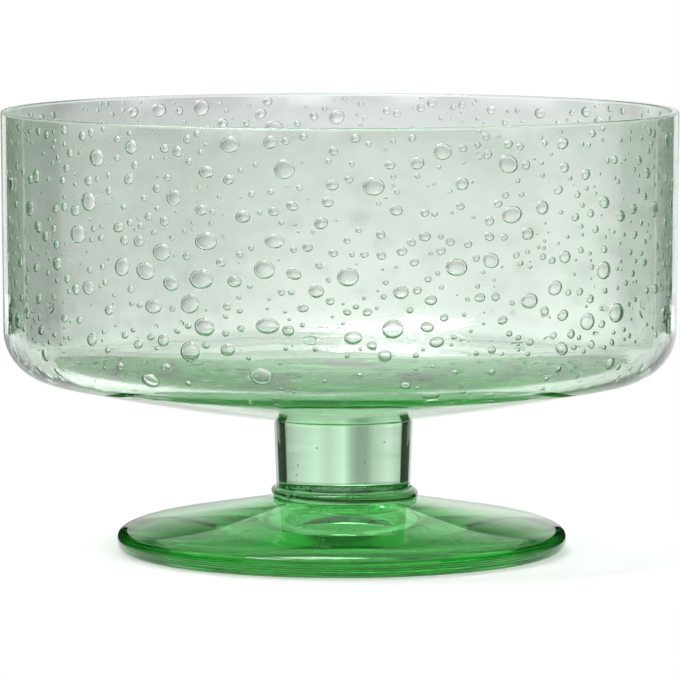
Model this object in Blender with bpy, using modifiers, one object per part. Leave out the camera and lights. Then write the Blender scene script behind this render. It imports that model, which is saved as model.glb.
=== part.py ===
"""Footed dessert cup of blown glass, as the four gathers of glass that it is made from.

Units are metres, +Z is up, and the origin is the centre of the ring that the foot stands on.
"""

import math

import bpy

CUP = "dessert_cup"

# Turning: facets round the axis, and points along a rounded stretch of a profile
TURN_FACETS = 64
CORNER_POINTS = 8
SWEEP_POINTS = 7
EDGE_POINTS = 6
AXIS_MERGE = 0.00001

# Clearance between two faces that are fused on the real cup
SEAM = 0.0003

# Foot
FOOT_RADIUS = 0.0400
FOOT_CROWN_HEIGHT = 0.0093
FOOT_SLOPE = math.radians(9.8)
FOOT_EDGE_HEIGHT = 0.0023
FOOT_EDGE_ROUND = 0.0107
REST_OUTER_RADIUS = 0.0377
REST_RING_WIDTH = 0.0052
FOOT_HOLLOW = 0.0010

# Joining wafer between foot and stem
WAFER_RADIUS = 0.0131
WAFER_THICKNESS = 0.0016

# Stem
STEM_LENGTH = 0.0119
STEM_BOTTOM_RADIUS = 0.0119
STEM_TOP_RADIUS = 0.01236

# Bowl, measured from the seat that the stem meets
BOWL_HEIGHT = 0.0548
RIM_RADIUS = 0.0600
WALL_DRAW_IN = 0.0003
RIM_THICKNESS = 0.0017
WALL_THICKNESS = 0.0015
OUTER_CORNER_RADIUS = 0.0090
UNDERSIDE_SLOPE_AT_STEM = math.radians(8.0)
UNDERSIDE_SLOPE_AT_CORNER = math.radians(12.5)
FLOOR_THICKNESS = 0.0092
FLOOR_FLAT_REACH = 0.0250
FLOOR_RISE_REACH = 0.0035
FLOOR_SLOPE_AT_CORNER = math.radians(8.0)
INNER_CORNER_RADIUS = 0.0070
CORNER_THICKNESS = 0.0025

# Finish
GLASS_GREEN = (0.68, 0.84, 0.71, 1.0)
DEEP_GREEN = (0.45, 0.72, 0.48, 1.0)
GLASS_IOR = 1.5
GLASS_ROUGHNESS = 0.03


def arc(centre, radius, start, end, points):
    """Points on a circle in the (r, z) plane, from angle start to angle end, both included."""
    turns = [start + (end - start) * i / (points - 1) for i in range(points)]
    return [(centre[0] + radius * math.cos(a), centre[1] + radius * math.sin(a)) for a in turns]


def quarter_ellipse(centre, half_width, half_height, points):
    """Points from the widest point of an ellipse down to its lowest, both included."""
    turns = [-0.5 * math.pi * i / (points - 1) for i in range(points)]
    return [(centre[0] + half_width * math.cos(a), centre[1] + half_height * math.sin(a)) for a in turns]


def bezier(start, start_handle, end_handle, end, points):
    """Points on a cubic curve, both ends included."""
    curve = []
    for i in range(points):
        t = i / (points - 1)
        weights = ((1 - t) ** 3, 3 * t * (1 - t) ** 2, 3 * t * t * (1 - t), t ** 3)
        corners = (start, start_handle, end_handle, end)
        curve.append(tuple(sum(w * c[k] for w, c in zip(weights, corners)) for k in (0, 1)))
    return curve


def sagging_sweep(start, start_slope, end_slope, end_radius, points):
    """Points on the arc that leaves start at one upward slope and reaches end_radius at a steeper one."""
    radius = (end_radius - start[0]) / (math.sin(end_slope) - math.sin(start_slope))
    centre = (start[0] - radius * math.sin(start_slope), start[1] + radius * math.cos(start_slope))
    down = -0.5 * math.pi
    return arc(centre, radius, down + start_slope, down + end_slope, points)


def underside_of_bowl(wall_radius):
    """Sloping underside of the bowl, from the edge of the seat out to the corner."""
    centre_radius = wall_radius - OUTER_CORNER_RADIUS
    corner_end = centre_radius + OUTER_CORNER_RADIUS * math.sin(UNDERSIDE_SLOPE_AT_CORNER)
    return sagging_sweep(
        (STEM_TOP_RADIUS, 0.0),
        UNDERSIDE_SLOPE_AT_STEM,
        UNDERSIDE_SLOPE_AT_CORNER,
        corner_end,
        SWEEP_POINTS,
    )


def outer_corner_centre(wall_radius):
    """Centre of the round between the bowl's wall and its underside."""
    lowest = underside_of_bowl(wall_radius)[-1][1]
    height = lowest + OUTER_CORNER_RADIUS * math.cos(UNDERSIDE_SLOPE_AT_CORNER)
    return (wall_radius - OUTER_CORNER_RADIUS, height)


def outside_of_bowl(wall_radius):
    """Outer half of the bowl's section, from the wall down to the edge of the seat."""
    corner = arc(
        outer_corner_centre(wall_radius),
        OUTER_CORNER_RADIUS,
        0.0,
        UNDERSIDE_SLOPE_AT_CORNER - 0.5 * math.pi,
        CORNER_POINTS,
    )
    return corner + underside_of_bowl(wall_radius)[-2::-1]


def inside_of_bowl(wall_radius):
    """Inner half of the bowl's section, from the middle of the floor round its corner up to the wall."""
    corner_bottom = outer_corner_centre(wall_radius)[1] - OUTER_CORNER_RADIUS + CORNER_THICKNESS
    corner = arc(
        (wall_radius - WALL_THICKNESS - INNER_CORNER_RADIUS, corner_bottom + INNER_CORNER_RADIUS),
        INNER_CORNER_RADIUS,
        FLOOR_SLOPE_AT_CORNER - 0.5 * math.pi,
        0.0,
        CORNER_POINTS,
    )
    floor_edge = corner[0]
    rise = (
        floor_edge[0] - FLOOR_RISE_REACH * math.cos(FLOOR_SLOPE_AT_CORNER),
        floor_edge[1] - FLOOR_RISE_REACH * math.sin(FLOOR_SLOPE_AT_CORNER),
    )
    middle = (0.0, FLOOR_THICKNESS)
    floor = bezier(middle, (FLOOR_FLAT_REACH, FLOOR_THICKNESS), rise, floor_edge, SWEEP_POINTS)
    return floor + corner[1:]


def bowl_section():
    """Thin wall on a thick level floor, with a round rim and a flat seat for the stem."""
    wall_radius = RIM_RADIUS - WALL_DRAW_IN
    rim_round = 0.5 * RIM_THICKNESS
    rim_centre = (RIM_RADIUS - rim_round, BOWL_HEIGHT - rim_round)
    rim = arc(rim_centre, rim_round, math.pi, 0.0, EDGE_POINTS)
    return (
        inside_of_bowl(wall_radius)
        + rim
        + outside_of_bowl(wall_radius)
        + [(0.0, 0.0)]
    )


def stem_section():
    """Solid post that draws in a little towards the foot."""
    return [
        (0.0, STEM_LENGTH),
        (STEM_TOP_RADIUS, STEM_LENGTH),
        (STEM_BOTTOM_RADIUS, 0.0),
        (0.0, 0.0),
    ]


def wafer_section():
    """Flat button with a round edge, squeezed out past the stem."""
    edge_round = 0.5 * WAFER_THICKNESS
    edge_centre = (WAFER_RADIUS - edge_round, edge_round)
    edge = arc(edge_centre, edge_round, 0.5 * math.pi, -0.5 * math.pi, EDGE_POINTS)
    return [(0.0, WAFER_THICKNESS)] + edge + [(0.0, 0.0)]


def foot_section():
    """Low cone that rolls over a full edge to a flat ring, with a shallow hollow underneath."""
    shoulder_radius = FOOT_RADIUS - FOOT_EDGE_ROUND
    fall = math.tan(FOOT_SLOPE)
    shoulder = (shoulder_radius, FOOT_CROWN_HEIGHT - fall * (shoulder_radius - WAFER_RADIUS))
    widest = (FOOT_RADIUS, FOOT_EDGE_HEIGHT)
    handle = 0.75 * FOOT_EDGE_ROUND
    shoulder_handle = (shoulder_radius + handle, shoulder[1] - fall * handle)
    widest_handle = (FOOT_RADIUS, FOOT_EDGE_HEIGHT + 0.5 * (shoulder[1] - FOOT_EDGE_HEIGHT))
    rolled_edge = bezier(shoulder, shoulder_handle, widest_handle, widest, CORNER_POINTS)
    under_edge = quarter_ellipse(
        (REST_OUTER_RADIUS, FOOT_EDGE_HEIGHT),
        FOOT_RADIUS - REST_OUTER_RADIUS,
        FOOT_EDGE_HEIGHT,
        EDGE_POINTS,
    )
    rest_inner = (REST_OUTER_RADIUS - REST_RING_WIDTH, 0.0)
    hollow_top = (0.0, FOOT_HOLLOW)
    hollow = bezier(
        rest_inner,
        (0.6 * rest_inner[0], FOOT_HOLLOW),
        (0.3 * rest_inner[0], FOOT_HOLLOW),
        hollow_top,
        EDGE_POINTS,
    )
    crown = [(0.0, FOOT_CROWN_HEIGHT), (WAFER_RADIUS, FOOT_CROWN_HEIGHT)]
    return crown + rolled_edge + under_edge[1:] + hollow


def glass(name, colour):
    """Clear green glass for one piece."""
    material = bpy.data.materials.new(name)
    material.use_nodes = True
    shader = material.node_tree.nodes["Principled BSDF"]
    shader.inputs["Base Color"].default_value = colour
    shader.inputs["Metallic"].default_value = 0.0
    shader.inputs["Roughness"].default_value = GLASS_ROUGHNESS
    shader.inputs["IOR"].default_value = GLASS_IOR
    shader.inputs["Transmission Weight"].default_value = 1.0
    material.diffuse_color = colour
    return material


def turned_piece(name, section, colour, seat_height, parent, collection):
    """Revolve a section about Z, and stand the piece on its seat."""
    mesh = bpy.data.meshes.new(name)
    points = [(r, 0.0, z) for r, z in section]
    edges = [(i, i + 1) for i in range(len(points) - 1)]
    mesh.from_pydata(points, edges, [])
    mesh.materials.append(glass(name + "_glass", colour))
    piece = bpy.data.objects.new(name, mesh)
    piece.location.z = seat_height
    piece.parent = parent
    collection.objects.link(piece)
    turn = piece.modifiers.new("turn", "SCREW")
    turn.axis = "Z"
    turn.steps = TURN_FACETS
    turn.render_steps = TURN_FACETS
    turn.use_merge_vertices = True
    turn.merge_threshold = AXIS_MERGE
    turn.use_smooth_shade = True
    return piece


def clear_scene():
    """Remove whatever the scene holds."""
    for obj in list(bpy.data.objects):
        bpy.data.objects.remove(obj, do_unlink=True)


def main():
    """Stack the four pieces on one axis, each on the seat of the one below."""
    clear_scene()
    collection = bpy.data.collections.new(CUP)
    bpy.context.scene.collection.children.link(collection)
    axis = bpy.data.objects.new("cup_axis", None)
    collection.objects.link(axis)

    wafer_seat = FOOT_CROWN_HEIGHT + SEAM
    stem_seat = wafer_seat + WAFER_THICKNESS + SEAM
    bowl_seat = stem_seat + STEM_LENGTH + SEAM
    turned_piece("foot", foot_section(), DEEP_GREEN, 0.0, axis, collection)
    turned_piece("joining_wafer", wafer_section(), DEEP_GREEN, wafer_seat, axis, collection)
    turned_piece("stem", stem_section(), DEEP_GREEN, stem_seat, axis, collection)
    turned_piece("bowl", bowl_section(), GLASS_GREEN, bowl_seat, axis, collection)


main()
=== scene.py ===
"""Looks of a footed dessert cup of pale green bubble glass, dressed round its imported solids.

The cup is four closed bodies of glass, each turned from a section: the bowl, whose wall is full of
flattened air bubbles, the solid stem, the joining wafer and the domed foot. Units are metres.
"""

from __future__ import annotations

import logging
import math
import random
from dataclasses import dataclass, field, replace
from enum import Enum
from typing import Union

import bmesh
import bpy
import numpy as np
from mathutils import Matrix, Vector, noise

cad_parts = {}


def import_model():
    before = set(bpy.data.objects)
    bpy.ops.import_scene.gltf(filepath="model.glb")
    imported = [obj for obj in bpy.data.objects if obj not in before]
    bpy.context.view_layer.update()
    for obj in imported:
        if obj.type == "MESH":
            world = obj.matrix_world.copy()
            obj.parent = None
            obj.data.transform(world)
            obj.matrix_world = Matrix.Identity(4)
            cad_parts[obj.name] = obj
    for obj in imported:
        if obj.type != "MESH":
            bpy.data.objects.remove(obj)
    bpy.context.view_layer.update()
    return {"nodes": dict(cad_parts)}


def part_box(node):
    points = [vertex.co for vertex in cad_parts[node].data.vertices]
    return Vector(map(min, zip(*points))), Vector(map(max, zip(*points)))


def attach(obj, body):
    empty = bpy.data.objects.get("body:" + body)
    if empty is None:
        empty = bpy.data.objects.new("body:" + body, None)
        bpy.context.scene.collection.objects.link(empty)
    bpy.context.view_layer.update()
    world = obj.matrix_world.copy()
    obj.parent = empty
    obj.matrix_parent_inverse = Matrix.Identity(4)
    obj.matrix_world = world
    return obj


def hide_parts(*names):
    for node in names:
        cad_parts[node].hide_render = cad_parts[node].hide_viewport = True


LOG = logging.getLogger("dessert_cup")
BODY = "root"
MM = 0.001
FRONT = math.radians(-90.0)
JOINT_GAP = 0.02 * MM
FUSED = "fused"
PARALLEL = 1e-12

Point = tuple[float, float]
Section = list[Point]
Faces = list[tuple[int, ...]]
Value = Union[bpy.types.NodeSocket, float]


class Slot(Enum):
    """Material slots of the record."""

    BUBBLE = "bubble_glass"
    SOLID = "solid_glass"


class Grade(Enum):
    """How finely a bubble's surface is divided: the least width that takes it, segments and rings."""

    LARGE = (2.6 * MM, 18, 9)
    MEDIUM = (1.2 * MM, 12, 6)
    SMALL = (0.6 * MM, 8, 5)
    TINY = (0.0, 6, 4)

    @classmethod
    def of(cls, width: float) -> Grade:
        """Give the grade for a bubble of this width."""
        return next(grade for grade in cls if width >= grade.value[0])


def round_axis(radius: float, turn: float, height: float) -> np.ndarray:
    """Point at a radius and a height, turned about Z from +X."""
    return np.array([radius * math.cos(turn), radius * math.sin(turn), height])


def arc(centre: Point, radius: float, start: float, end: float, points: int) -> Section:
    """Points on a circle in the (r, z) plane.

    Args:
        centre: Centre of the circle.
        radius: Radius of the circle.
        start: First angle, in radians.
        end: Last angle, in radians.
        points: How many points, both ends included.

    Returns:
        The points in order.
    """
    turns = np.linspace(start, end, points)
    return [(centre[0] + radius * math.cos(a), centre[1] + radius * math.sin(a)) for a in turns]


def straight(start: Point, end: Point, points: int) -> Section:
    """Evenly spaced points on a line.

    Args:
        start: First point.
        end: Last point.
        points: How many points, both ends included.

    Returns:
        The points in order.
    """
    steps = np.linspace(0.0, 1.0, points)
    return [(start[0] + t * (end[0] - start[0]), start[1] + t * (end[1] - start[1])) for t in steps]


def bezier(corners: tuple[Point, Point, Point, Point], points: int) -> Section:
    """Points on a cubic curve.

    Args:
        corners: Start, its handle, the end's handle, end.
        points: How many points, both ends included.

    Returns:
        The points in order.
    """
    t = np.linspace(0.0, 1.0, points)[:, None]
    weights = np.hstack([(1 - t) ** 3, 3 * t * (1 - t) ** 2, 3 * t * t * (1 - t), t ** 3])
    return [tuple(p) for p in weights @ np.array(corners)]


def sagging_sweep(start: Point, slopes: Point, end_radius: float, points: int) -> Section:
    """Points on the arc that leaves start at one upward slope and arrives at a steeper one.

    Args:
        start: First point.
        slopes: Slope at the start and at the end, in radians.
        end_radius: Radius from the axis where the arc ends.
        points: How many points, both ends included.

    Returns:
        The points in order.
    """
    radius = (end_radius - start[0]) / (math.sin(slopes[1]) - math.sin(slopes[0]))
    centre = (start[0] - radius * math.sin(slopes[0]), start[1] + radius * math.cos(slopes[0]))
    down = -0.5 * math.pi
    return arc(centre, radius, down + slopes[0], down + slopes[1], points)


@dataclass
class Shell:
    """Vertices and faces of one or more closed surfaces, gathered before a mesh is made."""

    points: list[np.ndarray] = field(default_factory=list)
    faces: list[Faces] = field(default_factory=list)
    count: int = 0

    def add(self, points: np.ndarray, faces: Faces) -> None:
        """Add a surface.

        Args:
            points: Its vertices, one row each.
            faces: Its faces, as indices into those vertices.
        """
        self.points.append(points)
        self.faces.append([tuple(i + self.count for i in face) for face in faces])
        self.count += len(points)

    def mesh(self, name: str) -> bpy.types.Mesh:
        """Make one smooth mesh of everything added.

        Args:
            name: The mesh's name.

        Returns:
            The new mesh.
        """
        made = bpy.data.meshes.new(name)
        faces = [face for group in self.faces for face in group]
        made.from_pydata(np.vstack(self.points).tolist(), [], faces)
        made.validate()
        made.shade_smooth()
        return made


@dataclass
class Turning:
    """A section turned about Z. It starts and ends on the axis and runs down its outer side."""

    section: Section
    facets: int

    def rings(self) -> np.ndarray:
        """Points of the section off the axis, as rows of (r, z)."""
        return np.array(self.section)[1:-1]

    def points(self) -> np.ndarray:
        """Vertices: the rings in order, then the two ends on the axis."""
        return np.vstack([self._around(self.rings()), self._ends()])

    def normals(self) -> np.ndarray:
        """Outward direction at each vertex.

        Returns:
            The directions, one row each.
        """
        profile = np.array(self.section)
        along = np.gradient(profile, axis=0)[1:-1]
        along /= np.linalg.norm(along, axis=1)[:, None]
        outward = np.stack([-along[:, 1], along[:, 0]], axis=1)
        return np.vstack([self._around(outward), [[0.0, 0.0, 1.0], [0.0, 0.0, -1.0]]])

    def spread(self, values: np.ndarray) -> np.ndarray:
        """Give each vertex its ring's value, and the two ends none.

        Args:
            values: One value for each ring.

        Returns:
            One value for each vertex.
        """
        return np.concatenate([np.repeat(values, self.facets), [0.0, 0.0]])

    def faces(self) -> Faces:
        """Faces of the closed surface, looking outwards.

        Returns:
            The faces, as indices into the vertices.
        """
        count = len(self.section) - 2
        top = count * self.facets
        last = top - self.facets
        made: Faces = []
        for k in range(self.facets):
            after = (k + 1) % self.facets
            made.append((top, k, after))
            for ring in range(count - 1):
                here, below = ring * self.facets, (ring + 1) * self.facets
                made.append((here + k, below + k, below + after, here + after))
            made.append((last + k, top + 1, last + after))
        return made

    def _around(self, rows: np.ndarray) -> np.ndarray:
        """Turn rows of (r, z) into points round the axis.

        Args:
            rows: Rows of (r, z).

        Returns:
            The points, ring by ring.
        """
        turns = np.arange(self.facets) * 2 * math.pi / self.facets
        radii, heights = rows[:, 0][:, None], rows[:, 1][:, None]
        spun = [radii * np.cos(turns), radii * np.sin(turns), np.repeat(heights, self.facets, axis=1)]
        return np.stack(spun, axis=-1).reshape(-1, 3)

    def _ends(self) -> np.ndarray:
        """The section's first and last point."""
        return np.array([[0.0, 0.0, self.section[0][1]], [0.0, 0.0, self.section[-1][1]]])


@dataclass(frozen=True)
class HandWave:
    """Slow unevenness that a blown surface keeps from the maker's tools."""

    depth: float
    pitch: float
    seed: float

    def shift(self, points: np.ndarray, outward: np.ndarray) -> np.ndarray:
        """Push points in and out along a direction.

        Args:
            points: Points to move, one row each.
            outward: Direction of the push at each point, shorter where it moves less.

        Returns:
            The moved points.
        """
        offset = Vector((self.seed, -self.seed, 0.5 * self.seed))
        swell = np.array([noise.noise(Vector(p) / self.pitch + offset) for p in points])
        return points + outward * (self.depth * swell)[:, None]


class NodeTree:
    """Short ways to add and join nodes of one tree."""

    def __init__(self, tree: bpy.types.NodeTree) -> None:
        """Keep the tree, emptied of its starting nodes."""
        self.tree = tree
        tree.nodes.clear()

    def add(self, kind: str, **settings: object) -> bpy.types.Node:
        """Add a node.

        Args:
            kind: The node's type name.
            settings: Properties to set on it.

        Returns:
            The new node.
        """
        node = self.tree.nodes.new(kind)
        for name, value in settings.items():
            setattr(node, name, value)
        return node

    def join(self, source: Value, target: bpy.types.NodeSocket) -> None:
        """Link an output to an input, or set the input where source is a plain value.

        Args:
            source: Output socket or plain value.
            target: The input.
        """
        if isinstance(source, bpy.types.NodeSocket):
            self.tree.links.new(source, target)
        else:
            target.default_value = source

    def math(self, operation: str, first: Value, second: Value = 0.0) -> bpy.types.NodeSocket:
        """Add a Math node.

        Args:
            operation: The node's operation.
            first: Socket or number for the first input.
            second: Socket or number for the second input.

        Returns:
            The node's output.
        """
        node = self.add("ShaderNodeMath", operation=operation)
        self.join(first, node.inputs[0])
        self.join(second, node.inputs[1])
        return node.outputs[0]

    def ease(self, value: Value, span: Point, result: tuple[Value, Value]) -> bpy.types.NodeSocket:
        """Add a smooth Map Range node.

        Args:
            value: Socket to map.
            span: Values between which the result changes.
            result: Results at the two ends of the span, as numbers or sockets.

        Returns:
            The node's output.
        """
        node = self.add("ShaderNodeMapRange", interpolation_type="SMOOTHSTEP")
        names = ("Value", "From Min", "From Max", "To Min", "To Max")
        for name, source in zip(names, (value, *span, *result)):
            self.join(source, node.inputs[name])
        return node.outputs["Result"]

    def noise(self, place: Value, scale: Value, detail: float) -> bpy.types.NodeSocket:
        """Add a Noise Texture.

        Args:
            place: Socket with the point to look up.
            scale: Repeats to the metre.
            detail: How many finer layers it has.

        Returns:
            The noise, about 0 to 1.
        """
        node = self.add("ShaderNodeTexNoise")
        self.join(place, node.inputs["Vector"])
        self.join(scale, node.inputs["Scale"])
        self.join(detail, node.inputs["Detail"])
        return node.outputs["Fac"]

    def group(self, tree: bpy.types.NodeTree, **values: float) -> bpy.types.NodeSocket:
        """Place a node group.

        Args:
            tree: The group.
            values: Its inputs.

        Returns:
            The group's output.
        """
        node = self.add("ShaderNodeGroup", node_tree=tree)
        for name, value in values.items():
            node.inputs[name].default_value = value
        return node.outputs[0]


def put(name: str, data: bpy.types.ID) -> bpy.types.Object:
    """Make an object of some data and link it to the scene.

    Args:
        name: The object's name.
        data: Its mesh, light or camera data.

    Returns:
        The new object.
    """
    made = bpy.data.objects.new(name, data)
    bpy.context.scene.collection.objects.link(made)
    return made


def node_material(name: str) -> tuple[bpy.types.Material, NodeTree]:
    """Make a material and give it with its emptied nodes.

    Args:
        name: The material's name.

    Returns:
        The material and its nodes.
    """
    material = bpy.data.materials.new(name)
    material.use_nodes = True
    return material, NodeTree(material.node_tree)


@dataclass(frozen=True)
class Group:
    """A node group in the making: its nodes, its inputs by name, and the socket that takes its result."""

    nodes: NodeTree
    given: dict[str, bpy.types.NodeSocket]
    result: bpy.types.NodeSocket

    @classmethod
    def start(cls, name: str, inputs: tuple[str, ...], output: str, kind: str) -> Group:
        """Make an empty group.

        Args:
            name: The group's name.
            inputs: Names of its number inputs.
            output: Name of its output.
            kind: Socket type of its output.

        Returns:
            The group.
        """
        tree = bpy.data.node_groups.new(name, "ShaderNodeTree")
        for label in inputs:
            tree.interface.new_socket(label, in_out="INPUT", socket_type="NodeSocketFloat")
        tree.interface.new_socket(output, in_out="OUTPUT", socket_type=kind)
        nodes = NodeTree(tree)
        given = nodes.add("NodeGroupInput")
        result = nodes.add("NodeGroupOutput")
        return cls(nodes, {label: given.outputs[label] for label in inputs}, result.inputs[0])

    def finish(self, value: bpy.types.NodeSocket) -> bpy.types.NodeTree:
        """Put out a value, and give the finished group."""
        self.nodes.join(value, self.result)
        return self.nodes.tree


class GlassEffects:
    """Node groups that every glass of the cup shares."""

    FINE_RATIO = 2.7
    FINE_SHARE = 0.3
    HAZE_STRETCH = 1.6
    HAZE_SPAN = (0.42, 0.72)
    CORD_SPAN = (0.35, 0.65)

    def __init__(self) -> None:
        """Build the groups."""
        self.ripple = self._ripple()
        self.haze = self._haze()
        self.cords = self._cords()

    @staticmethod
    def _stretched(nodes: NodeTree, stretch: Value) -> bpy.types.NodeSocket:
        """Object coordinates squeezed along Z, so that a pattern runs round the axis.

        Args:
            nodes: The tree.
            stretch: How much the pattern is squeezed.

        Returns:
            The coordinates.
        """
        parts = nodes.add("ShaderNodeSeparateXYZ")
        nodes.join(nodes.add("ShaderNodeTexCoord").outputs["Object"], parts.inputs[0])
        joined = nodes.add("ShaderNodeCombineXYZ")
        x, y, z = parts.outputs
        for source, target in zip((x, y, nodes.math("MULTIPLY", z, stretch)), joined.inputs):
            nodes.join(source, target)
        return joined.outputs[0]

    def _ripple(self) -> bpy.types.NodeTree:
        """Height of the soft ripple that blowing leaves on a surface.

        Returns:
            The group.
        """
        group = Group.start("blown_ripple", ("Scale", "Stretch"), "Height", "NodeSocketFloat")
        nodes, scale = group.nodes, group.given["Scale"]
        place = self._stretched(nodes, group.given["Stretch"])
        broad = nodes.noise(place, scale, 1.0)
        fine = nodes.noise(place, nodes.math("MULTIPLY", scale, self.FINE_RATIO), 0.0)
        return group.finish(nodes.math("ADD", broad, nodes.math("MULTIPLY", fine, self.FINE_SHARE)))

    def _haze(self) -> bpy.types.NodeTree:
        """Roughness of a wiped surface, in faint broad patches.

        Returns:
            The group.
        """
        group = Group.start("wiped_haze", ("Scale", "Least", "Most"), "Roughness", "NodeSocketFloat")
        nodes, given = group.nodes, group.given
        patch = nodes.noise(self._stretched(nodes, self.HAZE_STRETCH), given["Scale"], 3.0)
        return group.finish(nodes.ease(patch, self.HAZE_SPAN, (given["Least"], given["Most"])))

    def _cords(self) -> bpy.types.NodeTree:
        """Colour of faint cords where the melt was not fully mixed.

        Returns:
            The group.
        """
        group = Group.start("melt_cords", ("Scale", "Stretch", "Paleness"), "Color", "NodeSocketColor")
        nodes, given = group.nodes, group.given
        cord = nodes.noise(self._stretched(nodes, given["Stretch"]), given["Scale"], 2.0)
        streak = nodes.ease(cord, self.CORD_SPAN, (given["Paleness"], 1.0))
        colour = nodes.add("ShaderNodeCombineColor")
        for channel in colour.inputs:
            nodes.join(streak, channel)
        return group.finish(colour.outputs["Color"])


@dataclass(frozen=True)
class SoftInside:
    """Upper inside of the bowl, a little less smooth than the rest of it."""

    radius: float
    height: float
    roughness: float
    edge: float = 0.2 * MM
    fade: float = 4.0 * MM


@dataclass(frozen=True)
class GlassFinish:
    """Clear glass with a green body tint, a soft ripple, faint haze and melt cords."""

    name: str
    tint: tuple[float, float, float]
    tint_density: float
    ripple_pitch: float = 9.0 * MM
    ripple_stretch: float = 2.0
    ripple_depth: float = 0.02 * MM
    haze: Point = (0.0, 0.035)
    haze_scale: float = 45.0
    cord_paleness: float = 0.97
    cord_scale: float = 90.0
    cord_stretch: float = 4.0
    ior: float = 1.5

    def make(self, effects: GlassEffects, soft: SoftInside | None = None) -> bpy.types.Material:
        """Make the material.

        Args:
            effects: The shared node groups.
            soft: The surface that is less smooth, if there is one.

        Returns:
            The new material.
        """
        material, nodes = node_material(self.name)
        output = nodes.add("ShaderNodeOutputMaterial")
        shader = nodes.add("ShaderNodeBsdfPrincipled")
        shader.inputs["IOR"].default_value = self.ior
        shader.inputs["Transmission Weight"].default_value = 1.0
        cord_look = {"Scale": self.cord_scale, "Stretch": self.cord_stretch, "Paleness": self.cord_paleness}
        nodes.join(nodes.group(effects.cords, **cord_look), shader.inputs["Base Color"])
        rough = nodes.group(effects.haze, Scale=self.haze_scale, Least=self.haze[0], Most=self.haze[1])
        if soft:
            rough = nodes.math("MAXIMUM", rough, self._softness(nodes, soft))
        nodes.join(rough, shader.inputs["Roughness"])
        bump = nodes.add("ShaderNodeBump")
        bump.inputs["Distance"].default_value = self.ripple_depth
        height = nodes.group(effects.ripple, Scale=1.0 / self.ripple_pitch, Stretch=self.ripple_stretch)
        nodes.join(height, bump.inputs["Height"])
        nodes.join(bump.outputs["Normal"], shader.inputs["Normal"])
        fused = nodes.add("ShaderNodeAttribute", attribute_name=FUSED)
        nodes.join(nodes.math("SUBTRACT", 1.0, fused.outputs["Fac"]), shader.inputs["Alpha"])
        body = nodes.add("ShaderNodeVolumeAbsorption")
        body.inputs["Color"].default_value = (*self.tint, 1.0)
        body.inputs["Density"].default_value = self.tint_density
        nodes.join(shader.outputs["BSDF"], output.inputs["Surface"])
        nodes.join(body.outputs["Volume"], output.inputs["Volume"])
        return material

    @staticmethod
    def _softness(nodes: NodeTree, soft: SoftInside) -> bpy.types.NodeSocket:
        """Roughness of the less smooth inside, and none elsewhere.

        Args:
            nodes: The material's nodes.
            soft: The surface that is less smooth.

        Returns:
            The roughness.
        """
        place = nodes.add("ShaderNodeSeparateXYZ")
        nodes.join(nodes.add("ShaderNodeTexCoord").outputs["Object"], place.inputs[0])
        x, y, z = place.outputs
        squares = nodes.math("ADD", nodes.math("MULTIPLY", x, x), nodes.math("MULTIPLY", y, y))
        across = nodes.math("SQRT", squares)
        inside = nodes.ease(across, (soft.radius, soft.radius + soft.edge), (soft.roughness, 0.0))
        above = nodes.ease(z, (soft.height, soft.height + soft.fade), (0.0, 1.0))
        return nodes.math("MULTIPLY", inside, above)


STEM_GLASS = GlassFinish("solid_green_glass", (0.10, 0.755, 0.17), 25.0)
WAFER_GLASS = GlassFinish("seam_green_glass", (0.05, 0.42, 0.10), 170.0)
FOOT_GLASS = GlassFinish("deep_green_glass", (0.10, 0.755, 0.17), 50.0)
BOWL_GLASS = GlassFinish("bubble_green_glass", (0.10, 0.76, 0.20), 52.0, 5.0 * MM, 0.8, 0.022 * MM)


def joint_plane(upper: str, lower: str) -> float:
    """Height of the fused joint between two CAD nodes, in the middle of the seam that parts them."""
    return 0.5 * (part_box(upper)[0].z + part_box(lower)[1].z)


class GlassPiece:
    """A closed body of glass, turned from a section, that takes the place of a CAD node."""

    name: str
    node: str
    facets: int
    slot = Slot.SOLID
    shift = 0.0

    def section(self) -> Section:
        """Section from the middle of the top to the middle of the bottom."""
        raise NotImplementedError

    def joints(self) -> dict[float, float]:
        """Height of each joint to another piece, and the radius that is fused there."""
        raise NotImplementedError

    def shaped(self, turning: Turning) -> np.ndarray:
        """Vertices of the turned surface, where a piece can move them by hand."""
        return turning.points()

    def fill(self, shell: Shell) -> None:
        """Add the piece's surfaces to a shell."""
        turning = Turning(self.section(), self.facets)
        shell.add(self.shaped(turning), turning.faces())

    def mark_fused(self, mesh: bpy.types.Mesh) -> None:
        """Mark the flat faces that are fused to the next piece, where light passes straight on.

        Args:
            mesh: The piece's mesh.
        """
        marks = mesh.attributes.new(FUSED, "FLOAT", "FACE")
        for face in mesh.polygons:
            corners = [mesh.vertices[v].co for v in face.vertices]
            across = max(math.hypot(*corner.xy) for corner in corners)
            for height, radius in self.joints().items():
                flat = max(abs(corner.z - height) for corner in corners) < JOINT_GAP
                if flat and across <= radius + JOINT_GAP:
                    marks.data[face.index].value = 1.0

    def build(self, material: bpy.types.Material) -> bpy.types.Object:
        """Make the piece and put it in place of its CAD node.

        Args:
            material: The piece's glass.

        Returns:
            The finished piece.
        """
        shell = Shell()
        self.fill(shell)
        mesh = shell.mesh(self.name)
        self.mark_fused(mesh)
        mesh.transform(Matrix.Translation((self.shift, 0.0, 0.0)))
        mesh.materials.append(material)
        piece = put(self.name, mesh)
        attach(piece, BODY)
        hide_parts(self.node)
        mesh.calc_loop_triangles()
        LOG.info("%s: %d triangles", self.name, len(mesh.loop_triangles))
        return piece


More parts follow.
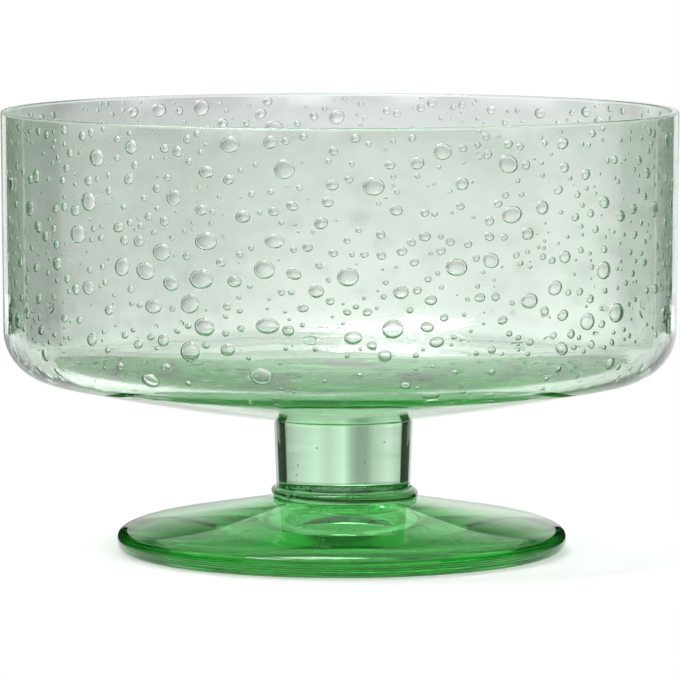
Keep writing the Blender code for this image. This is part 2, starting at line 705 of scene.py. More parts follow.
def hollow_lens(grade: Grade, fullness: float) -> tuple[np.ndarray, Faces]:
    """Surface of an air bubble of radius 1 and half thickness 1, looking into its air.

    Args:
        grade: How finely it is divided.
        fullness: 2 for an ellipsoid, more for flatter faces and a rounder edge.

    Returns:
        Its vertices and faces.
    """
    _, segments, rings = grade.value
    slant = np.linspace(0.0, math.pi, rings + 1)
    spans = np.abs(np.sin(slant)) ** (2.0 / fullness)
    heights = np.sign(np.cos(slant)) * np.abs(np.cos(slant)) ** (2.0 / fullness)
    spans[0] = spans[-1] = 0.0
    turning = Turning(list(zip(spans, heights)), segments)
    return turning.points(), [face[::-1] for face in turning.faces()]


def trap_bubble(shell: Shell, spot: np.ndarray, width: float) -> None:
    """Add a small round air bubble to a piece.

    Args:
        shell: The piece's surfaces.
        spot: The bubble's middle.
        width: Its width.
    """
    points, faces = hollow_lens(Grade.of(width), fullness=2.0)
    shell.add(spot + 0.5 * width * points, faces)


@dataclass(frozen=True)
class Bubble:
    """One air bubble in the bowl's glass."""

    turn: float
    run: int
    width: float
    thickness: float
    stretch: float
    roll: float
    depth: float


@dataclass(frozen=True)
class Wall:
    """Where the bowl's bubbles can lie: points up the inside, the way into the glass, and its thickness."""

    runs: np.ndarray
    outward: np.ndarray
    thickness: np.ndarray
    top: float

    def spot(self, turn: float, run: int) -> np.ndarray:
        """Point on the inside at one turn and run."""
        return round_axis(self.runs[run][0], turn, self.runs[run][1])


@dataclass(frozen=True)
class Mark:
    """A large bubble with a place of its own: turn from the front and height, with its two widths."""

    turn: float
    height: float
    wide: float
    tall: float


def large_bubbles() -> list[Mark]:
    """The cup's largest bubbles, in degrees and millimetres.

    Returns:
        A mark for each.
    """
    return [
        Mark(-22.2, 59.3, 4.1, 3.0),
        Mark(-23.1, 52.9, 4.4, 3.3),
        Mark(-10.6, 59.4, 3.4, 2.3),
        Mark(-11.8, 45.3, 4.1, 2.7),
        Mark(-25.1, 40.6, 3.6, 3.3),
        Mark(8.6, 44.8, 3.7, 3.3),
        Mark(45.0, 44.7, 3.6, 3.0),
        Mark(53.0, 45.6, 4.2, 3.4),
        Mark(5.4, 68.6, 3.7, 3.0),
        Mark(2.1, 43.4, 3.0, 2.3),
        Mark(-13.1, 37.0, 3.8, 3.0),
        Mark(-33.9, 35.6, 3.4, 2.7),
        Mark(-48.8, 59.3, 3.9, 3.1),
        Mark(-46.2, 50.2, 2.9, 2.4),
        Mark(-31.9, 47.8, 3.3, 2.4),
        Mark(-36.2, 74.6, 2.7, 2.4),
        Mark(-18.0, 75.6, 3.4, 2.7),
        Mark(-22.2, 70.9, 2.8, 2.0),
        Mark(-15.8, 63.5, 2.7, 2.0),
    ]


@dataclass
class BubbleField:
    """The air bubbles of the bowl, scattered through its wall, corner and floor."""

    wall_count: int = 1350
    base_count: int = 400
    seed: int = 11
    tries: int = 30
    median_width: float = 1.0 * MM
    spread: float = 0.56
    least_width: float = 0.32 * MM
    most_width: float = 3.4 * MM
    cover: float = 0.13 * MM
    thin: float = 0.18 * MM
    thin_share: float = 0.08
    thin_spread: Point = (0.8, 1.25)
    thickest_share: float = 0.55
    stretch: float = 1.28
    stretch_spread: Point = (0.2, 1.3)
    lean: float = 0.25
    spacing: float = 0.62
    gap: float = 0.15 * MM
    fullness: float = 4.0
    back_share: float = 0.5
    back_from: float = 0.3
    back_top: float = 66.0 * MM
    marks: list[Mark] = field(default_factory=large_bubbles)

    def scatter(self, wall: Wall, wall_foot: float) -> list[Bubble]:
        """Choose the bubbles, with none touching another.

        Args:
            wall: Where they can lie.
            wall_foot: Height at which the straight wall starts.

        Returns:
            The bubbles.
        """
        rng = random.Random(self.seed)
        chosen = [self._marked(mark, wall, rng) for mark in self.marks]
        taken = [np.append(wall.spot(bubble.turn, bubble.run), bubble.width) for bubble in chosen]
        steps = np.hypot(*np.gradient(wall.runs, axis=0).T) * wall.runs[:, 0]
        upper = wall.runs[:, 1] >= wall_foot
        for count, zone in ((self.wall_count, upper), (self.base_count, ~upper)):
            shares = np.cumsum(steps * zone) / (steps * zone).sum()
            for width in self._widths(count, rng):
                for _ in range(self.tries):
                    run = int(np.searchsorted(shares, rng.random()))
                    turn = rng.random() * 2 * math.pi
                    spot = wall.spot(turn, run)
                    if spot[2] + 0.5 * width > wall.top or self._left_out(spot, rng):
                        continue
                    near = np.array(taken)
                    apart = np.linalg.norm(near[:, :3] - spot, axis=1)
                    if (apart < self.spacing * (near[:, 3] + width) + self.gap).any():
                        continue
                    stretch = 1.0 + (self.stretch - 1.0) * rng.uniform(*self.stretch_spread)
                    roll = rng.gauss(0.0, self.lean)
                    chosen.append(self._bubble(turn, run, width, stretch, roll, wall, rng))
                    taken.append(np.append(spot, width))
                    break
        return chosen

    def shells(self, bubbles: list[Bubble], wall: Wall, shell: Shell) -> None:
        """Add each bubble's surface, facing its own air.

        Args:
            bubbles: The bubbles.
            wall: Where they lie.
            shell: Where the surfaces go.
        """
        lenses = {grade: hollow_lens(grade, self.fullness) for grade in Grade}
        for bubble in bubbles:
            points, faces = lenses[Grade.of(bubble.width)]
            through = round_axis(wall.outward[bubble.run][0], bubble.turn, wall.outward[bubble.run][1])
            around = np.array([-math.sin(bubble.turn), math.cos(bubble.turn), 0.0])
            along = np.cross(through, around)
            cr, sr = math.cos(bubble.roll), math.sin(bubble.roll)
            long_axis, short_axis = around * cr + along * sr, along * cr - around * sr
            centre = wall.spot(bubble.turn, bubble.run) + through * bubble.depth
            longer = bubble.stretch ** 0.5
            size = np.array([bubble.width * longer, bubble.width / longer, bubble.thickness])
            shell.add(centre + (points * 0.5 * size) @ np.stack([long_axis, short_axis, through]), faces)

    def _left_out(self, spot: np.ndarray, rng: random.Random) -> bool:
        """Whether a spot stays free because it is on the lower back, where the bubbles are fewer."""
        behind = spot[1] > self.back_from * math.hypot(spot[0], spot[1]) and spot[2] < self.back_top
        return behind and rng.random() > self.back_share

    def _widths(self, count: int, rng: random.Random) -> list[float]:
        """Widths of scattered bubbles, widest first."""
        drawn = (self.median_width * math.exp(rng.gauss(0.0, self.spread)) for _ in range(count))
        return sorted((min(max(w, self.least_width), self.most_width) for w in drawn), reverse=True)

    def _marked(self, mark: Mark, wall: Wall, rng: random.Random) -> Bubble:
        """The bubble for a mark.

        Args:
            mark: The bubble's place and widths.
            wall: Where it lies.
            rng: Source of its thickness and depth.

        Returns:
            The bubble.
        """
        run = int(np.argmin(np.abs(wall.runs[:, 1] - mark.height * MM)))
        turn = FRONT + math.radians(mark.turn)
        width = math.sqrt(mark.wide * mark.tall) * MM
        return self._bubble(turn, run, width, mark.wide / mark.tall, 0.0, wall, rng)

    def _bubble(
        self, turn: float, run: int, width: float, stretch: float, roll: float, wall: Wall, rng: random.Random
    ) -> Bubble:
        """Fit a bubble between the two faces of the wall.

        Args:
            turn: Its angle round the axis.
            run: Its place up the inside.
            width: Its mean width.
            stretch: Its longer width over its shorter one.
            roll: How far its longer width leans.
            wall: Where it lies.
            rng: Source of its thickness and depth.

        Returns:
            The bubble.
        """
        room = wall.thickness[run] - 2 * self.cover
        flat = (self.thin + self.thin_share * width) * rng.uniform(*self.thin_spread)
        thickness = min(flat, self.thickest_share * width, room)
        depth = self.cover + 0.5 * thickness + rng.random() * max(room - thickness, 0.0)
        return Bubble(turn, run, width, thickness, stretch, roll, depth)


@dataclass
class Bowl(GlassPiece):
    """Wide bowl with a thin wall, a rounded corner and a thick level floor over the stem."""

    stem_radius: float
    facets: int = 160
    wall_draw_in: float = 0.3 * MM
    rim_thickness: float = 1.5 * MM
    rim_round: float = 0.45 * MM
    rim_lead: float = 0.1 * MM
    wall_thickness: float = 1.5 * MM
    outer_corner: float = 9.0 * MM
    underside_slopes: Point = (math.radians(8.0), math.radians(12.5))
    inner_corner: float = 7.3 * MM
    corner_thickness: float = 2.0 * MM
    floor_thickness: float = 10.0 * MM
    floor_slope: float = math.radians(8.0)
    floor_flat: float = 30.0 * MM
    floor_rise: float = 3.5 * MM
    inside_wave: HandWave = HandWave(0.022 * MM, 9.0 * MM, 3.1)
    outside_wave: HandWave = HandWave(0.015 * MM, 14.0 * MM, 7.4)
    soft_from: float = 45.0 * MM
    soft_depth: float = 0.6
    soft_roughness: float = 0.15
    wall_runs: int = 600
    least_glass: float = 1.0 * MM
    bubbles: BubbleField = field(default_factory=BubbleField)

    name = "bubble_glass_bowl"
    node = "bowl"
    slot = Slot.BUBBLE

    def __post_init__(self) -> None:
        """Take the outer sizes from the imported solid."""
        low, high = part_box("bowl")
        self.rim_radius = high.x
        self.seat_height = low.z
        self.rim_height = high.z
        self.wall_radius = self.rim_radius - self.wall_draw_in
        self.joint = joint_plane("bowl", "stem")

    def soft_inside(self) -> SoftInside:
        """The less smooth upper inside, told from the outside by its radius."""
        radius = self.wall_radius - self.soft_depth * self.wall_thickness
        return SoftInside(radius, self.soft_from, self.soft_roughness)

    def underside(self) -> Section:
        """Section of the underside, from the edge of the seat out to the corner."""
        end = self.wall_radius - self.outer_corner * (1.0 - math.sin(self.underside_slopes[1]))
        return sagging_sweep((self.stem_radius, self.seat_height), self.underside_slopes, end, points=18)

    def corner_centre(self) -> Point:
        """Centre of the outer corner.

        Returns:
            Its radius and height.
        """
        lowest = self.underside()[-1][1]
        rise = self.outer_corner * math.cos(self.underside_slopes[1])
        return self.wall_radius - self.outer_corner, lowest + rise

    def inside(self) -> Section:
        """Section of the inside, from the middle of the floor up to below the rim.

        Returns:
            The points in order.
        """
        lowest = self.corner_centre()[1] - self.outer_corner + self.corner_thickness
        centre = (self.wall_radius - self.wall_thickness - self.inner_corner, lowest + self.inner_corner)
        corner = arc(centre, self.inner_corner, self.floor_slope - 0.5 * math.pi, 0.0, points=16)
        floor_height = self.seat_height + self.floor_thickness
        end = corner[0]
        rise = (
            end[0] - self.floor_rise * math.cos(self.floor_slope),
            end[1] - self.floor_rise * math.sin(self.floor_slope),
        )
        floor = bezier(((0.0, floor_height), (self.floor_flat, floor_height), rise, end), points=26)
        top = self.rim()[0]
        wall = straight(corner[-1], top, points=16)[1:-1]
        return floor + corner[1:] + wall + [(top[0], top[1] - self.rim_lead)]

    def rim(self) -> Section:
        """Section of the rim, from its inside to its outside.

        Returns:
            The points in order.
        """
        soft, height = self.rim_round, self.rim_height - self.rim_round
        inner_edge = (self.rim_radius - self.rim_thickness + soft, height)
        inner = arc(inner_edge, soft, math.pi, 0.5 * math.pi, points=6)
        outer = arc((self.rim_radius - soft, height), soft, 0.5 * math.pi, 0.0, points=6)
        return inner + outer

    def outside(self) -> Section:
        """Section of the outside, from below the rim down to the edge of the seat.

        Returns:
            The points in order.
        """
        end = self.underside_slopes[1] - 0.5 * math.pi
        corner = arc(self.corner_centre(), self.outer_corner, 0.0, end, points=16)
        top = self.rim()[-1]
        lead = (top[0], top[1] - self.rim_lead)
        return [lead] + straight(top, corner[0], points=14)[1:] + corner[1:] + self.underside()[-2::-1]

    def section(self) -> Section:
        """Section from the middle of the floor round the rim to the middle of the seat.

        Returns:
            The points in order.
        """
        bottom = self.joint + 0.5 * JOINT_GAP
        seat = straight((self.stem_radius, bottom), (0.0, bottom), points=5)
        return self.inside() + self.rim() + self.outside() + seat

    def joints(self) -> dict[float, float]:
        """The seat, which is fused to the stem."""
        return {self.joint: self.stem_radius}

    def wall(self) -> Wall:
        """Measure the glass behind each point of the inside, outside the stem's width and below the rim.

        Returns:
            Where bubbles can lie.
        """
        inner = np.array(self.inside() + self.rim()[:1])
        places = np.linspace(0, len(inner) - 1, self.wall_runs)
        runs = np.stack([np.interp(places, np.arange(len(inner)), inner[:, k]) for k in (0, 1)], axis=1)
        along = np.gradient(runs, axis=0)
        along /= np.linalg.norm(along, axis=1)[:, None]
        outward = np.stack([along[:, 1], -along[:, 0]], axis=1)
        outer = np.array(self.outside())
        starts, edges = outer[:-1], np.diff(outer, axis=0)
        thickness = np.zeros(len(runs))
        for i, (point, ray) in enumerate(zip(runs, outward)):
            cross = ray[0] * edges[:, 1] - ray[1] * edges[:, 0]
            cross = np.where(np.abs(cross) < PARALLEL, PARALLEL, cross)
            offset = starts - point
            reach = (offset[:, 0] * edges[:, 1] - offset[:, 1] * edges[:, 0]) / cross
            share = (offset[:, 0] * ray[1] - offset[:, 1] * ray[0]) / cross
            hits = reach[(reach > 0) & (share >= 0) & (share <= 1)]
            thickness[i] = hits.min() if len(hits) else 0.0
        keep = (thickness > self.least_glass) & (runs[:, 0] > self.stem_radius)
        return Wall(runs[keep], outward[keep], thickness[keep], self.rim_height - self.rim_round)

    def shaped(self, turning: Turning) -> np.ndarray:
        """Vertices with the hand-made waves of the inside and the outside.

        Args:
            turning: The turned section.

        Returns:
            The vertices, one row each.
        """
        points, outward = turning.points(), turning.normals()
        inside = np.arange(len(turning.rings())) < len(self.inside()) - 1
        for wave, rings in ((self.inside_wave, inside), (self.outside_wave, ~inside)):
            points = wave.shift(points, outward * turning.spread(rings.astype(float))[:, None])
        return points

    def fill(self, shell: Shell) -> None:
        """Add the bowl's surface and its bubbles to a shell.

        Args:
            shell: Where the surfaces go.
        """
        super().fill(shell)
        wall = self.wall()
        found = self.bubbles.scatter(wall, self.corner_centre()[1])
        self.bubbles.shells(found, wall, shell)
        LOG.info("bowl: %d bubbles", len(found))


@dataclass
class Stem(GlassPiece):
    """Solid post under the bowl, with tiny seeds placed by turn from the front and height in mm."""

    bottom_radius: float = 11.9 * MM
    edge_round: float = 0.1 * MM
    shift: float = 0.62 * MM
    facets: int = 160
    seeds: tuple[Point, ...] = ((-44.0, 16.1), (-46.0, 14.3), (-24.0, 19.4), (19.0, 17.0), (38.0, 20.3))
    seed_width: float = 0.34 * MM

    name = "solid_stem"
    node = "stem"

    def __post_init__(self) -> None:
        """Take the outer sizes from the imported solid."""
        self.top_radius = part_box("stem")[1].x
        self.top = joint_plane("bowl", "stem") - 0.5 * JOINT_GAP
        self.bottom = joint_plane("stem", "joining_wafer") + 0.5 * JOINT_GAP

    def section(self) -> Section:
        """Section from the middle of the top to the middle of the bottom.

        Returns:
            The points in order.
        """
        soft = self.edge_round
        upper = arc((self.top_radius - soft, self.top - soft), soft, 0.5 * math.pi, 0.0, points=5)
        lower = arc((self.bottom_radius - soft, self.bottom + soft), soft, 0.0, -0.5 * math.pi, points=5)
        side = upper + straight(upper[-1], lower[0], points=24)[1:-1] + lower
        top = straight((0.0, self.top), upper[0], points=6)
        bottom = straight(lower[-1], (0.0, self.bottom), points=6)
        return top[:-1] + side + bottom[1:]

    def joints(self) -> dict[float, float]:
        """The top, which is fused to the bowl, and the bottom, which is fused to the wafer."""
        return {self.top: self.top_radius, self.bottom: self.bottom_radius}

    def fill(self, shell: Shell) -> None:
        """Add the stem's surface and its seeds to a shell.

        Args:
            shell: Where the surfaces go.
        """
        super().fill(shell)
        reach = self.bottom_radius - 2.0 * self.seed_width
        for turn, height in self.seeds:
            trap_bubble(shell, round_axis(reach, FRONT + math.radians(turn), height * MM), self.seed_width)


@dataclass
class JoiningWafer(GlassPiece):
    """Thin button of glass between stem and foot, squeezed out past the stem."""

    stem_radius: float
    shift: float = 0.85 * MM
    skew: float = 0.4 * MM
    facets: int = 160
    bubbles: int = 150
    bubble_seed: int = 5
    bubble_width: Point = (0.16 * MM, 0.36 * MM)
    bubble_depth: Point = (0.4 * MM, 0.9 * MM)
    bubble_reach: Point = (-0.9 * MM, 0.4 * MM)

    name = "seam_wafer"
    node = "joining_wafer"

    def __post_init__(self) -> None:
        """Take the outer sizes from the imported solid."""
        self.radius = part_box("joining_wafer")[1].x
        self.top = joint_plane("stem", "joining_wafer") - 0.5 * JOINT_GAP
        self.bottom = joint_plane("joining_wafer", "foot") + 0.5 * JOINT_GAP
        self.edge_round = 0.5 * (self.top - self.bottom)

    def section(self) -> Section:
        """Section from the middle of the top to the middle of the bottom.

        Returns:
            The points in order.
        """
        half = self.edge_round
        middle = (self.radius - half, self.bottom + half)
        edge = arc(middle, half, 0.5 * math.pi, -0.5 * math.pi, points=13)
        fused = (self.stem_radius, self.top)
        top = straight((0.0, self.top), fused, points=6) + straight(fused, edge[0], points=3)[1:-1]
        return top + edge + straight(edge[-1], (0.0, self.bottom), points=6)[1:]

    def joints(self) -> dict[float, float]:
        """The top under the stem, and the bottom, which is fused to the foot."""
        return {self.top: self.stem_radius, self.bottom: self.radius}

    def shaped(self, turning: Turning) -> np.ndarray:
        """Vertices with the bulging edge leaning to one side.

        Args:
            turning: The turned section.

        Returns:
            The vertices, one row each.
        """
        points = turning.points()
        proud = np.hypot(points[:, 0], points[:, 1]) - self.stem_radius
        lean = np.clip(proud / (self.radius - self.stem_radius), 0.0, 1.0)
        points[:, 2] -= self.skew * lean * points[:, 0] / self.radius
        return points

    def fill(self, shell: Shell) -> None:
        """Add the wafer's surface and its trapped bubbles to a shell.

        Args:
            shell: Where the surfaces go.
        """
        super().fill(shell)
        rng = random.Random(self.bubble_seed)
        for _ in range(self.bubbles):
            turn = rng.random() * 2 * math.pi
            reach = self.stem_radius + rng.uniform(*self.bubble_reach)
            spot = round_axis(reach, turn, self.top - rng.uniform(*self.bubble_depth))
            trap_bubble(shell, spot, rng.uniform(*self.bubble_width))


@dataclass
class Foot(GlassPiece):
    """Solid domed disc with a rolled edge, hollowed a little underneath."""

    wafer_radius: float
    crown_radius: float = 13.1 * MM
    crown_step: float = 0.05 * MM
    slope: float = math.radians(9.8)
    edge_height: float = 2.3 * MM
    edge_round: float = 10.7 * MM
    edge_handle: float = 0.75
    rest_outer_radius: float = 37.7 * MM
    rest_ring_width: float = 5.2 * MM
    hollow: float = 0.25 * MM
    hollow_handles: Point = (0.6, 0.3)
    shift: float = 0.3 * MM
    facets: int = 240

    name = "domed_foot"
    node = "foot"

    def __post_init__(self) -> None:
        """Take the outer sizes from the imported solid."""
        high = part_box("foot")[1]
        self.radius = high.x
        self.crown_height = high.z
        self.joint = joint_plane("joining_wafer", "foot") - 0.5 * JOINT_GAP

    def rolled_edge(self, shoulder: Point) -> Section:
        """Section of the edge, from the shoulder down to the table.

        Args:
            shoulder: Where the dome ends.

        Returns:
            The points in order.
        """
        handle = self.edge_handle * self.edge_round
        upper = bezier(
            (
                shoulder,
                (shoulder[0] + handle, shoulder[1] - math.tan(self.slope) * handle),
                (self.radius, self.edge_height + 0.5 * (shoulder[1] - self.edge_height)),
                (self.radius, self.edge_height),
            ),
            points=28,
        )
        reach = self.radius - self.rest_outer_radius
        quarter = arc((0.0, 1.0), 1.0, 0.0, -0.5 * math.pi, points=16)
        lower = [(self.rest_outer_radius + reach * r, self.edge_height * z) for r, z in quarter]
        return upper + lower[1:]

    def section(self) -> Section:
        """Section from the middle of the crown round the edge to the middle of the hollow.

        Returns:
            The points in order.
        """
        shoulder_radius = self.radius - self.edge_round
        fall = math.tan(self.slope) * (shoulder_radius - self.crown_radius)
        shoulder = (shoulder_radius, self.crown_height - fall)
        edge = self.rolled_edge(shoulder)
        rest_inner = self.rest_outer_radius - self.rest_ring_width
        handles = [(share * rest_inner, self.hollow) for share in self.hollow_handles]
        hollow = bezier(((rest_inner, 0.0), *handles, (0.0, self.hollow)), points=24)
        crown_edge = (self.crown_radius, self.crown_height)
        return (
            straight((0.0, self.joint), (self.wafer_radius, self.joint), points=6)
            + straight((self.wafer_radius + self.crown_step, self.crown_height), crown_edge, points=3)
            + straight(crown_edge, shoulder, points=20)[1:]
            + edge[1:]
            + straight(edge[-1], hollow[0], points=6)[1:]
            + hollow[1:]
        )

    def joints(self) -> dict[float, float]:
        """The crown, which is fused to the wafer."""
        return {self.joint: self.wafer_radius}


@dataclass
class PhotoCamera:
    """Long-lens camera at the photograph's viewing angle."""

    distance: float = 0.9905
    height: float = 0.13026
    pitch: float = math.radians(5.35)
    lens: float = 296.5
    sensor_width: float = 36.0
    clip: Point = (0.05, 50.0)

    def build(self) -> None:
        """Make the camera the scene's own."""
        data = bpy.data.cameras.new("photo_camera")
        data.lens = self.lens
        data.sensor_width = self.sensor_width
        data.clip_start, data.clip_end = self.clip
        camera = put("photo_camera", data)
        camera.location = (0.0, -self.distance, self.height)
        camera.rotation_euler = (0.5 * math.pi - self.pitch, 0.0, 0.0)
        bpy.context.scene.camera = camera


def backdrop_stops() -> list[Point]:
    """Brightness of the surround at table height, by heading in degrees from +Y towards +X.

    Returns:
        The heading and brightness of each stop, in order.
    """
    left = [(-45.0, 0.80), (-30.0, 1.02), (-18.0, 0.74), (-13.0, 0.48), (-8.0, 0.45), (-4.0, 0.64)]
    right = [(0.0, 1.12), (4.0, 1.00), (9.0, 0.86), (16.0, 1.08), (33.0, 0.82), (45.0, 0.62)]
    flag = [(46.5, 0.02), (70.0, 0.02)]
    side = [(72.0, 0.92), (104.0, 0.92), (110.0, 0.55), (125.0, 0.15), (180.0, 0.15)]
    mirrored = [(-heading, level) for heading, level in reversed(flag + side)]
    return mirrored + left + right + flag + side


@dataclass(frozen=True)
class Card:
    """Upright card at one side of the cup, seen only in its glass.

    It has two ends, a height and a brightness, and is seen through the glass or only reflected in it.
    """

    near: Point
    far: Point
    low: float
    high: float
    level: float
    through: bool

    def build(self, name: str) -> None:
        """Stand the card on the stage.

        Args:
            name: The card's name.
        """
        ends = (self.near, self.far)
        corners = [(x, y, self.low) for x, y in ends] + [(x, y, self.high) for x, y in reversed(ends)]
        mesh = bpy.data.meshes.new(name)
        mesh.from_pydata(corners, [], [(0, 1, 2, 3)])
        material, nodes = node_material(name)
        glow = nodes.add("ShaderNodeEmission")
        glow.inputs["Strength"].default_value = self.level
        nodes.join(glow.outputs[0], nodes.add("ShaderNodeOutputMaterial").inputs["Surface"])
        mesh.materials.append(material)
        card = put(name, mesh)
        card.visible_camera = card.visible_diffuse = card.visible_shadow = False
        card.visible_transmission = self.through


def both_sides(cards: list[Card]) -> list[Card]:
    """The cards mirrored to the left, then the cards themselves."""
    left = [replace(c, near=(-c.near[0], c.near[1]), far=(-c.far[0], c.far[1])) for c in cards]
    return left + cards


def side_cards() -> list[Card]:
    """A white and a black card behind each side of the bowl, as wide as its edge sees them.

    Returns:
        The four cards.
    """
    edge, reach = (0.0574, -0.015), 0.3
    low, high = 0.0095, 0.068
    white, black = (15.0, 23.5, 1.20), (24.1, 45.0, 0.01)
    cards: list[Card] = []
    for start, end, level in (white, black):
        spots = arc(edge, reach, math.radians(90.0 - start), math.radians(90.0 - end), points=2)
        cards.append(Card(*spots, low, high, level, through=True))
    return both_sides(cards)


def foot_shade_cards() -> list[Card]:
    """Low black cards round each side of the foot, seen only in its reflections: painted shade that darkens
    the ends of its rolled edge in place of the shade on the table beside it.

    Returns:
        The four cards.
    """
    back, side, front = (0.046, 0.050), (0.046, -0.022), (0.030, -0.046)
    # Painted shade: near-black sheets beside the foot, hidden from all but reflection rays.
    low, high, level = 0.0005, 0.012, 0.01
    return both_sides([Card(side, end, low, high, level, through=False) for end in (back, front)])


@dataclass
class Studio:
    """White table, white surround and dark flags that draw the glass's edges. Its angles are in degrees."""

    floor_radius: float = 0.9
    floor_segments: int = 96
    floor_drop: float = 0.1 * MM
    white_from: float = 0.050
    white_at: float = 0.100
    shadow: float = 0.65
    table: float = 0.9
    flags_from: float = -12.0
    flags_from_soft: float = 1.5
    flags_to: float = 16.0
    flags_to_soft: float = 6.0
    low_level: float = 0.80
    high_level: float = 0.12
    top_from: float = 36.0
    top_soft: float = 8.0
    top_level: float = 1.3
    far_dim: float = 0.68
    dim_heights: Point = (-4.4, -2.7)
    undim_heights: Point = (-1.0, 4.0)
    side_lift: float = 0.7
    lift_heights: Point = (-1.5, 3.5)
    side_rise: float = 0.16
    rise_headings: Point = (5.0, 14.0)
    backdrop: list[Point] = field(default_factory=backdrop_stops)
    # The foot cards are painted shade, dark sheets that only the foot's reflections see.
    cards: list[Card] = field(default_factory=lambda: side_cards() + foot_shade_cards())
    softbox_place: tuple[float, float, float] = (-0.22, -0.18, 0.80)
    softbox_size: Point = (0.30, 0.70)
    softbox_power: float = 8.0
    bounces: int = 32
    glossy_bounces: int = 16

    def build_floor(self) -> None:
        """Round table top that keeps the cup's shadow and fades to plain white further out."""
        work = bmesh.new()
        bmesh.ops.create_circle(work, cap_ends=True, segments=self.floor_segments, radius=self.floor_radius)
        mesh = bpy.data.meshes.new("table_top")
        work.to_mesh(mesh)
        work.free()
        floor = put("table_top", mesh)
        floor.location.z = -self.floor_drop
        material, nodes = node_material("table_white")
        mesh.materials.append(material)
        output = nodes.add("ShaderNodeOutputMaterial")
        length = nodes.add("ShaderNodeVectorMath", operation="LENGTH")
        nodes.join(nodes.add("ShaderNodeNewGeometry").outputs["Position"], length.inputs[0])
        fade = nodes.ease(length.outputs["Value"], (self.white_from, self.white_at), (0.0, 1.0))
        seen = nodes.add("ShaderNodeLightPath").outputs["Is Camera Ray"]
        matt = nodes.add("ShaderNodeBsdfDiffuse")
        matt.inputs["Color"].default_value = (self.table, self.table, self.table, 1.0)
        white = nodes.add("ShaderNodeEmission")
        lit = self._mix(nodes, nodes.math("MULTIPLY", seen, 1.0 - self.shadow), matt, white)
        clear = nodes.add("ShaderNodeBsdfTransparent")
        nodes.join(self._mix(nodes, fade, lit, clear).outputs[0], output.inputs["Surface"])

    @staticmethod
    def _mix(nodes: NodeTree, share: Value, first: bpy.types.Node, second: bpy.types.Node) -> bpy.types.Node:
        """Mix two shaders by a share of the second.

        Args:
            nodes: The tree.
            share: Share of the second shader.
            first: The first shader.
            second: The second shader.

        Returns:
            The mixing node.
        """
        mix = nodes.add("ShaderNodeMixShader")
        nodes.join(share, mix.inputs["Fac"])
        nodes.join(first.outputs[0], mix.inputs[1])
        nodes.join(second.outputs[0], mix.inputs[2])
        return mix

    @staticmethod
    def _sines(low: float, high: float) -> Point:
        """Two heights above the horizon as sines, which is how the surround is looked up."""
        return math.sin(math.radians(low)), math.sin(math.radians(high))

    def _edge(self, height: float, soft: float) -> Point:
        """Span of a soft edge in the surround, as sines: its height and how far it fades to either side."""
        return self._sines(height - soft, height + soft)

    def _levels(self, nodes: NodeTree, heading: Value) -> bpy.types.NodeSocket:
        """Brightness by heading, as a ramp round the horizon.

        Args:
            nodes: The tree.
            heading: Socket that runs from 0 at -180 degrees to 1 at 180 degrees.

        Returns:
            The brightness.
        """
        ramp = nodes.add("ShaderNodeValToRGB")
        nodes.join(heading, ramp.inputs["Fac"])
        elements = ramp.color_ramp.elements
        while len(elements) < len(self.backdrop):
            elements.new(0.5)
        for element, (angle, level) in zip(elements, self.backdrop):
            element.position = 0.5 + angle / 360.0
            element.color = (level, level, level, 1.0)
        return ramp.outputs["Color"]

    def build_surround(self) -> None:
        """World that is plain white to the camera, and a studio with dark flags to the glass."""
        world = bpy.data.worlds.new("white_studio")
        bpy.context.scene.world = world
        world.use_nodes = True
        nodes = NodeTree(world.node_tree)
        output = nodes.add("ShaderNodeOutputWorld")
        parts = nodes.add("ShaderNodeSeparateXYZ")
        nodes.join(nodes.add("ShaderNodeTexCoord").outputs["Generated"], parts.inputs[0])
        x, y, z = parts.outputs
        heading = nodes.math("ADD", nodes.math("DIVIDE", nodes.math("ARCTAN2", x, y), 2 * math.pi), 0.5)
        dim = nodes.ease(z, self._sines(*self.dim_heights), (1.0, self.far_dim))
        dim = nodes.ease(z, self._sines(*self.undim_heights), (dim, 1.0))
        band = nodes.math("MULTIPLY", self._levels(nodes, heading), dim)
        lift = nodes.ease(z, self._sines(*self.lift_heights), (0.0, self.side_lift))
        band = nodes.math("MAXIMUM", band, lift)
        level = nodes.ease(z, self._edge(self.flags_from, self.flags_from_soft), (self.low_level, band))
        turned = nodes.math("ABSOLUTE", nodes.math("SUBTRACT", heading, 0.5))
        start, end = (angle / 360.0 for angle in self.rise_headings)
        above = nodes.math("SUBTRACT", z, nodes.ease(turned, (start, end), (0.0, self.side_rise)))
        level = nodes.ease(above, self._edge(self.flags_to, self.flags_to_soft), (level, self.high_level))
        level = nodes.ease(z, self._edge(self.top_from, self.top_soft), (level, self.top_level))
        background = nodes.add("ShaderNodeBackground")
        background.inputs["Color"].default_value = (1.0, 1.0, 1.0, 1.0)
        strength = nodes.add("ShaderNodeMix", data_type="FLOAT")
        nodes.join(nodes.add("ShaderNodeLightPath").outputs["Is Camera Ray"], strength.inputs["Factor"])
        nodes.join(level, strength.inputs["A"])
        strength.inputs["B"].default_value = 1.0
        nodes.join(strength.outputs["Result"], background.inputs["Strength"])
        nodes.join(background.outputs["Background"], output.inputs["Surface"])

    def build_softbox(self) -> None:
        """Soft lamp overhead, a little to the front and left, for highlights and the shadow."""
        data = bpy.data.lights.new("softbox", "AREA")
        data.shape = "RECTANGLE"
        data.size, data.size_y = self.softbox_size
        data.energy = self.softbox_power
        lamp = put("softbox", data)
        lamp.location = self.softbox_place
        lamp.rotation_euler = (-Vector(self.softbox_place)).to_track_quat("-Z", "Y").to_euler()

    def build(self) -> None:
        """Make the whole stage."""
        scene = bpy.context.scene
        scene.view_settings.view_transform = "Standard"
        scene.cycles.max_bounces = self.bounces
        scene.cycles.transmission_bounces = self.bounces
        scene.cycles.glossy_bounces = self.glossy_bounces
        self.build_floor()
        self.build_surround()
        for number, card in enumerate(self.cards, 1):
            card.build(f"card_{number}")
        self.build_softbox()


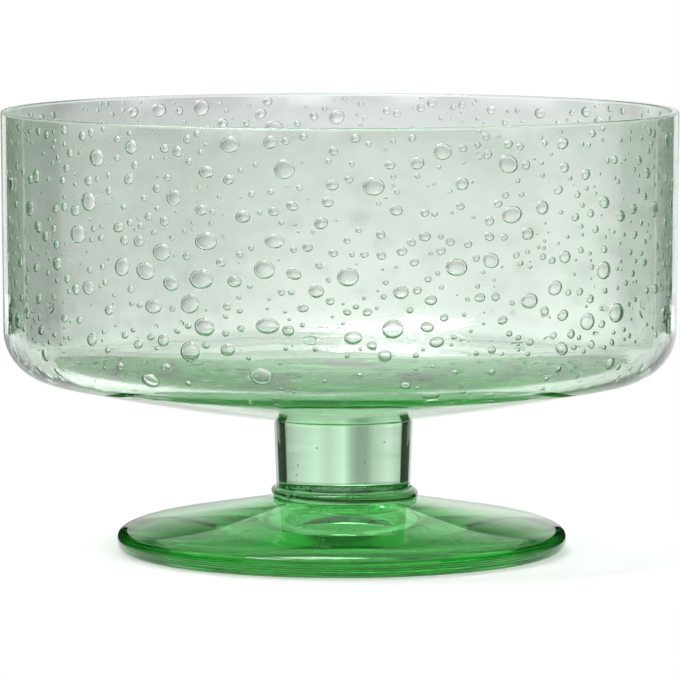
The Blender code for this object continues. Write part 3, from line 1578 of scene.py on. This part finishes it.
def main() -> None:
    """Dress the cup and set its stage."""
    logging.basicConfig(level=logging.INFO, format="%(name)s: %(message)s")
    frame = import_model()
    LOG.info("frame: %s", ", ".join(frame["nodes"]))
    PhotoCamera().build()
    Studio().build()
    effects = GlassEffects()
    stem = Stem()
    stem.build(STEM_GLASS.make(effects))
    wafer = JoiningWafer(stem.bottom_radius)
    wafer.build(WAFER_GLASS.make(effects))
    foot = Foot(wafer.radius - wafer.edge_round)
    foot.build(FOOT_GLASS.make(effects))
    bowl = Bowl(stem.top_radius)
    bowl.build(BOWL_GLASS.make(effects, bowl.soft_inside()))


if __name__ == "__main__":
    main()
